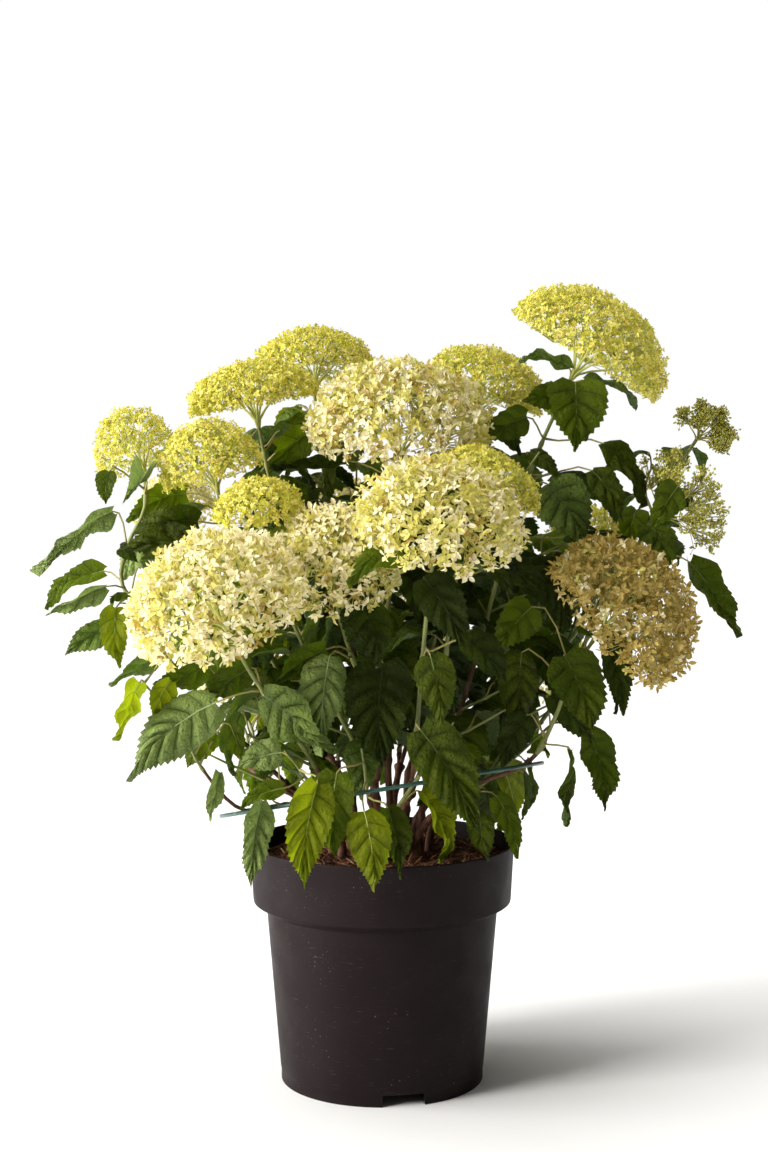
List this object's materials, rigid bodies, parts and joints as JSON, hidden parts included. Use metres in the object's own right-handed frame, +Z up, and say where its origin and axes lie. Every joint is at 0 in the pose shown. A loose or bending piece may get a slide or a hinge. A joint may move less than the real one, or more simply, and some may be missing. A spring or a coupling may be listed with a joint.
{
  "type": "smooth hydrangea shrub in a nursery pot",
  "caption": "Leafy flowering shrub with domed cream and lime flower heads on upright stems, in a plain round nursery pot.",
  "frame": {"origin": "on the floor, under the middle of the pot's flat underside", "axes": "+Z up; -Y is the front, the side that shows the three large cream flower heads; +X is to the right seen from the front"},
  "size_m": [0.739, 0.6149, 0.8335],
  "materials": {
    "pot_plastic": "satin black, scuffed",
    "bark_mulch": "rough, moist red-brown bark",
    "hoop_green": "dark green plastic-coated wire",
    "cane_bark": "rough brown bark",
    "cream_shoot": "matt leaves and cream flowers",
    "lime_shoot": "matt leaves and lime-green flowers",
    "bud_shoot": "matt leaves and green flower buds",
    "leafy_shoot": "matt green leaves"
  },
  "bodies": {
    "root": {"pot": "pot_plastic", "mulch": "bark_mulch", "support_hoop": "hoop_green", "cane_front_left": "cane_bark", "cane_front": "cane_bark", "cane_front_low": "cane_bark", "cane_front_right": "cane_bark", "cane_middle": "cane_bark", "cane_right_front": "cane_bark", "cane_right": "cane_bark", "cane_far_right": "cane_bark", "cane_back_right": "cane_bark", "cane_back_right_low": "cane_bark", "cane_back": "cane_bark", "cane_back_middle": "cane_bark", "cane_back_left_low": "cane_bark", "cane_back_left": "cane_bark", "cane_left": "cane_bark", "cane_far_left": "cane_bark", "cane_left_front": "cane_bark", "shoot_cream_front_left": "cream_shoot", "shoot_cream_front": "cream_shoot", "shoot_cream_front_right": "cream_shoot", "shoot_cream_top": "cream_shoot", "shoot_lime_middle_right": "lime_shoot", "shoot_lime_back_top": "lime_shoot", "shoot_lime_top_right": "lime_shoot", "shoot_bud_top": "bud_shoot", "shoot_bud_far_right": "bud_shoot", "shoot_cream_right": "cream_shoot", "shoot_lime_top_left": "lime_shoot", "shoot_lime_upper_left": "lime_shoot", "shoot_lime_left": "lime_shoot", "shoot_lime_far_left": "lime_shoot", "shoot_lime_middle_left": "lime_shoot", "shoot_cream_back_left": "cream_shoot", "shoot_lime_back_right": "lime_shoot", "shoot_cream_back": "cream_shoot", "shoot_lime_back": "lime_shoot", "shoot_cream_low_back_left": "cream_shoot", "shoot_cream_low_back": "cream_shoot", "shoot_lime_low_back_right": "lime_shoot", "shoot_leafy_left": "leafy_shoot", "shoot_leafy_low_left": "leafy_shoot", "shoot_leafy_front_left": "leafy_shoot", "shoot_leafy_front": "leafy_shoot", "shoot_leafy_front_right": "leafy_shoot", "shoot_leafy_right": "leafy_shoot", "shoot_leafy_middle": "leafy_shoot", "shoot_leafy_far_left": "leafy_shoot", "shoot_leafy_back_left": "leafy_shoot", "shoot_leafy_low_back": "leafy_shoot", "shoot_leafy_back_right": "leafy_shoot", "shoot_leafy_upper_right": "leafy_shoot"}
  },
  "joints": []
}
